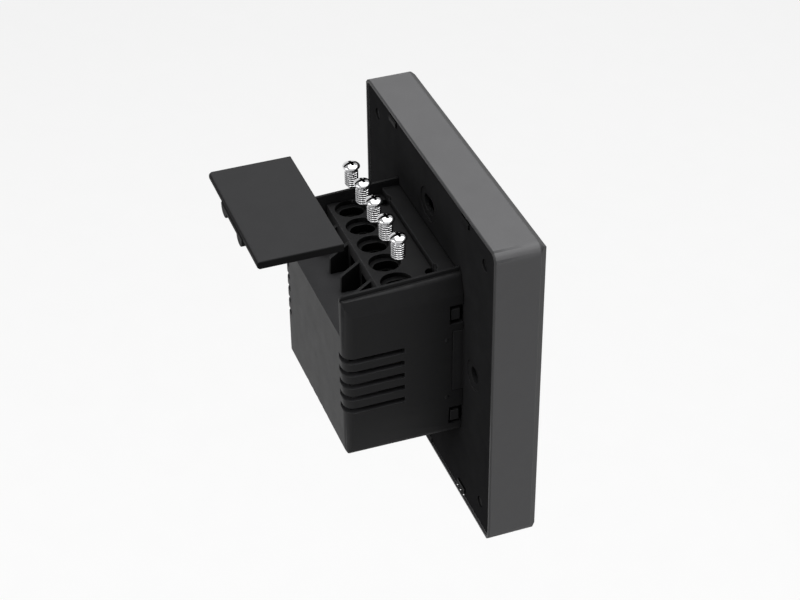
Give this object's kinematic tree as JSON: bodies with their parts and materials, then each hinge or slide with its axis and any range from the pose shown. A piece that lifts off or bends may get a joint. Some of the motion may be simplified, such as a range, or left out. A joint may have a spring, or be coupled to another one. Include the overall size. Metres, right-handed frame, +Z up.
{
  "type": "smart wall touch panel",
  "caption": "Square glass-fronted wall touch panel on a plug-in wall base, with a rear housing, screw terminals and a lift-off terminal cover.",
  "frame": {"origin": "centre of the panel on the wall plane, which is the plane of the rear rim", "axes": "+Y points into the wall, so the glass faces -Y; +Z is up; +X is to the right for someone who faces the glass"},
  "size_m": [0.086, 0.0612, 0.086],
  "materials": {
    "frame_metal": "satin dark grey anodised look",
    "panel_glass": "black-backed polished glass",
    "tape": "black foam tape",
    "display": "dark glossy cell",
    "backlight": "white diffuser",
    "dark_plastic": "fine-grained moulded plastic",
    "steel": "plated steel",
    "board": "green solder mask",
    "tin_can": "tinned steel",
    "brass_parts": "gold plated",
    "flex": "amber polyimide",
    "pale_plastic": "ivory plastic",
    "plate_plastic": "matt black moulded plastic",
    "housing_plastic": "fine spark-eroded texture, dark grey",
    "block_plastic": "fine spark-eroded texture, dark grey",
    "cover_plastic": "fine spark-eroded texture, dark grey",
    "screw_chrome": "bright nickel plate",
    "clamp_metal": "nickel-plated steel",
    "copper": "copper",
    "relay_case": "blue relay case",
    "ferrite": "dark ceramic",
    "coil_tape": "yellow winding tape",
    "capacitor_sleeve": "black shrink sleeve",
    "fuse_case": "brown case",
    "varistor_case": "blue epoxy"
  },
  "bodies": {
    "wall_base": {"back_plate": "plate_plastic", "rear_housing": "housing_plastic", "terminal_block": "block_plastic", "terminal_clamp_1": "clamp_metal", "terminal_clamp_2": "clamp_metal", "terminal_clamp_3": "clamp_metal", "terminal_clamp_4": "clamp_metal", "terminal_clamp_5": "clamp_metal", "terminal_contact_1": "copper", "terminal_contact_2": "copper", "terminal_contact_3": "copper", "terminal_contact_4": "copper", "terminal_contact_5": "copper", "power_board": "board", "power_board_screws": "steel", "base_cover": "plate_plastic", "base_header": "dark_plastic", "header_pins": "brass_parts", "relay_1": "relay_case", "relay_2": "relay_case", "relay_3": "relay_case", "transformer_core": "ferrite", "transformer_coil": "coil_tape", "bulk_capacitor": "capacitor_sleeve", "output_capacitor": "capacitor_sleeve", "filter_choke": "copper", "fuse": "fuse_case", "varistor": "varistor_case"},
    "front_unit": {"front_frame": "frame_metal", "cover_glass": "panel_glass", "glass_tape": "tape", "display_cell": "display", "backlight": "backlight", "mid_chassis": "dark_plastic", "chassis_screws": "steel", "main_board": "board", "board_screws": "steel", "shield_can": "tin_can", "wireless_module": "tin_can", "loudspeaker": "dark_plastic", "microphone": "brass_parts", "display_flex": "flex", "flex_connector": "pale_plastic", "board_socket": "dark_plastic"},
    "cover": {"terminal_cover": "cover_plastic"},
    "screw_1": {"terminal_screw_1": "screw_chrome"},
    "screw_2": {"terminal_screw_2": "screw_chrome"},
    "screw_3": {"terminal_screw_3": "screw_chrome"},
    "screw_4": {"terminal_screw_4": "screw_chrome"},
    "screw_5": {"terminal_screw_5": "screw_chrome"}
  },
  "joints": [
    {"name": "front_unit_pull", "type": "slide", "parent": "wall_base", "child": "front_unit", "axis": [0, -1, 0], "range_m": [0, 0.02]},
    {"name": "cover_close", "type": "slide", "parent": "wall_base", "child": "cover", "axis": [0, -0.8552, -0.5183], "range_m": [0, 0.0273]},
    {"name": "screw_1_in", "type": "slide", "parent": "wall_base", "child": "screw_1", "axis": [0, 0, -1], "range_m": [0, 0.0134]},
    {"name": "screw_2_in", "type": "slide", "parent": "wall_base", "child": "screw_2", "axis": [0, 0, -1], "range_m": [0, 0.0134]},
    {"name": "screw_3_in", "type": "slide", "parent": "wall_base", "child": "screw_3", "axis": [0, 0, -1], "range_m": [0, 0.0134]},
    {"name": "screw_4_in", "type": "slide", "parent": "wall_base", "child": "screw_4", "axis": [0, 0, -1], "range_m": [0, 0.0134]},
    {"name": "screw_5_in", "type": "slide", "parent": "wall_base", "child": "screw_5", "axis": [0, 0, -1], "range_m": [0, 0.0134]}
  ],
  "couplings": [
    {"joint": "screw_1_in", "follows": "cover_close", "ratio": 0.49079},
    {"joint": "screw_2_in", "follows": "cover_close", "ratio": 0.49079},
    {"joint": "screw_3_in", "follows": "cover_close", "ratio": 0.49079},
    {"joint": "screw_4_in", "follows": "cover_close", "ratio": 0.49079},
    {"joint": "screw_5_in", "follows": "cover_close", "ratio": 0.49079}
  ]
}
